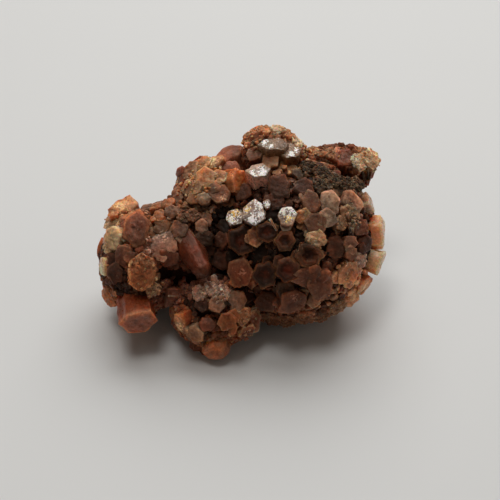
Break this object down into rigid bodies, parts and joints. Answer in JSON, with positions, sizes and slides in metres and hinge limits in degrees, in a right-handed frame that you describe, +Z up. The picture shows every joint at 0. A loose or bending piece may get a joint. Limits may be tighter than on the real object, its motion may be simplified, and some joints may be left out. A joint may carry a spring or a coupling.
{
  "type": "aragonite sputnik cluster",
  "caption": "Natural cluster of six-sided mauve-brown to amber aragonite prisms that radiate from a few joined centres, resting as found on a surface.",
  "frame": {"origin": "middle of the bounding box's bottom, on the surface that the cluster rests on", "axes": "+X along the cluster's longest side, towards the large dome; +Z up; the side with the glinting faces looks to -Y"},
  "size_m": [0.0604, 0.0404, 0.0376],
  "materials": {
    "aragonite": "translucent mauve-brown to orange-amber aragonite, waxy to glassy prism faces, sparkling broken end faces, cream and red granular crusts"
  },
  "bodies": {
    "root": {"aragonite_cluster": "aragonite"}
  },
  "joints": []
}
